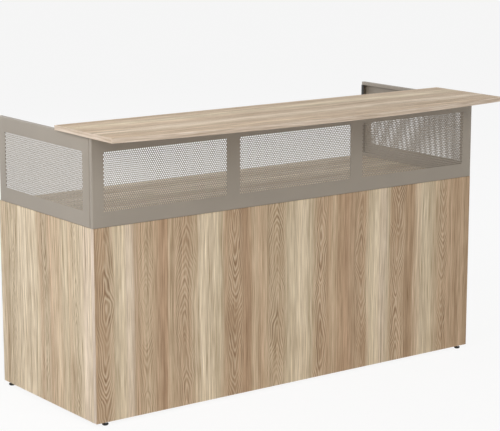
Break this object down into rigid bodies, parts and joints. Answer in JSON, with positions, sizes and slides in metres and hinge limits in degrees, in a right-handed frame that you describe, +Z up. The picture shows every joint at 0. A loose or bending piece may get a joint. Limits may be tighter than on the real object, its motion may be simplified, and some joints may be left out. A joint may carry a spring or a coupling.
{
  "type": "reception desk",
  "caption": "Free-standing reception desk: wood-grain panels round a worksurface, low perforated steel screens and a bow-front transaction top on leveling feet.",
  "frame": {"origin": "on the floor, under the middle of the footprint", "axes": "+X to the right as a visitor faces the desk, +Y from the visitor's side to the user's side, +Z up"},
  "size_m": [1.859, 0.921, 1.0839],
  "materials": {
    "laminate": "satin wood-grain laminate on board, pale and brown bands",
    "edge_band": "satin wood-grain edge band, lighter than the faces",
    "screen_paint": "satin taupe-grey powder coat",
    "bracket_paint": "satin black powder coat",
    "black_plastic": "matte black",
    "zinc_steel": "bright zinc plate"
  },
  "bodies": {
    "desk": {"front_left_foot_insert": "zinc_steel", "front_panel": "laminate", "front_panel_left_edge_band": "edge_band", "front_panel_right_edge_band": "edge_band", "front_right_foot_insert": "zinc_steel", "front_screen": "screen_paint", "front_screen_left_screw": "zinc_steel", "front_screen_right_screw": "zinc_steel", "left_end_panel": "laminate", "left_end_panel_rear_edge_band": "edge_band", "left_end_screen": "screen_paint", "left_end_screen_front_screw": "zinc_steel", "left_end_screen_rear_screw": "zinc_steel", "left_end_screen_trim": "black_plastic", "left_front_angle": "bracket_paint", "left_lower_cam": "zinc_steel", "left_lower_cam_bolt": "zinc_steel", "left_lower_corner_screw": "zinc_steel", "left_upper_cam": "zinc_steel", "left_upper_cam_bolt": "zinc_steel", "left_upper_corner_screw": "zinc_steel", "left_worksurface_rail": "bracket_paint", "mullion_post_1": "screen_paint", "mullion_post_2": "screen_paint", "rear_left_foot_insert": "zinc_steel", "rear_right_foot_insert": "zinc_steel", "right_end_panel": "laminate", "right_end_panel_rear_edge_band": "edge_band", "right_end_screen": "screen_paint", "right_end_screen_front_screw": "zinc_steel", "right_end_screen_rear_screw": "zinc_steel", "right_end_screen_trim": "black_plastic", "right_front_angle": "bracket_paint", "right_lower_cam": "zinc_steel", "right_lower_cam_bolt": "zinc_steel", "right_lower_corner_screw": "zinc_steel", "right_upper_cam": "zinc_steel", "right_upper_cam_bolt": "zinc_steel", "right_upper_corner_screw": "zinc_steel", "right_worksurface_rail": "bracket_paint", "top_bracket_1": "bracket_paint", "top_bracket_2": "bracket_paint", "top_front_edge_band": "edge_band", "top_left_edge_band": "edge_band", "top_rear_edge_band": "edge_band", "top_right_edge_band": "edge_band", "top_screw_1": "zinc_steel", "top_screw_2": "zinc_steel", "transaction_top": "laminate", "worksurface": "laminate", "worksurface_rear_edge_band": "edge_band", "worksurface_stiffener": "bracket_paint"},
    "front_left_foot": {"front_left_foot_pad": "black_plastic", "front_left_foot_stud": "zinc_steel"},
    "rear_left_foot": {"rear_left_foot_pad": "black_plastic", "rear_left_foot_stud": "zinc_steel"},
    "front_right_foot": {"front_right_foot_pad": "black_plastic", "front_right_foot_stud": "zinc_steel"},
    "rear_right_foot": {"rear_right_foot_pad": "black_plastic", "rear_right_foot_stud": "zinc_steel"}
  },
  "joints": [
    {"name": "front_left_foot_travel", "type": "slide", "parent": "desk", "child": "front_left_foot", "axis": [0, 0, 1], "range_m": [-0.02, 0]},
    {"name": "rear_left_foot_travel", "type": "slide", "parent": "desk", "child": "rear_left_foot", "axis": [0, 0, 1], "range_m": [-0.02, 0]},
    {"name": "front_right_foot_travel", "type": "slide", "parent": "desk", "child": "front_right_foot", "axis": [0, 0, 1], "range_m": [-0.02, 0]},
    {"name": "rear_right_foot_travel", "type": "slide", "parent": "desk", "child": "rear_right_foot", "axis": [0, 0, 1], "range_m": [-0.02, 0]}
  ]
}
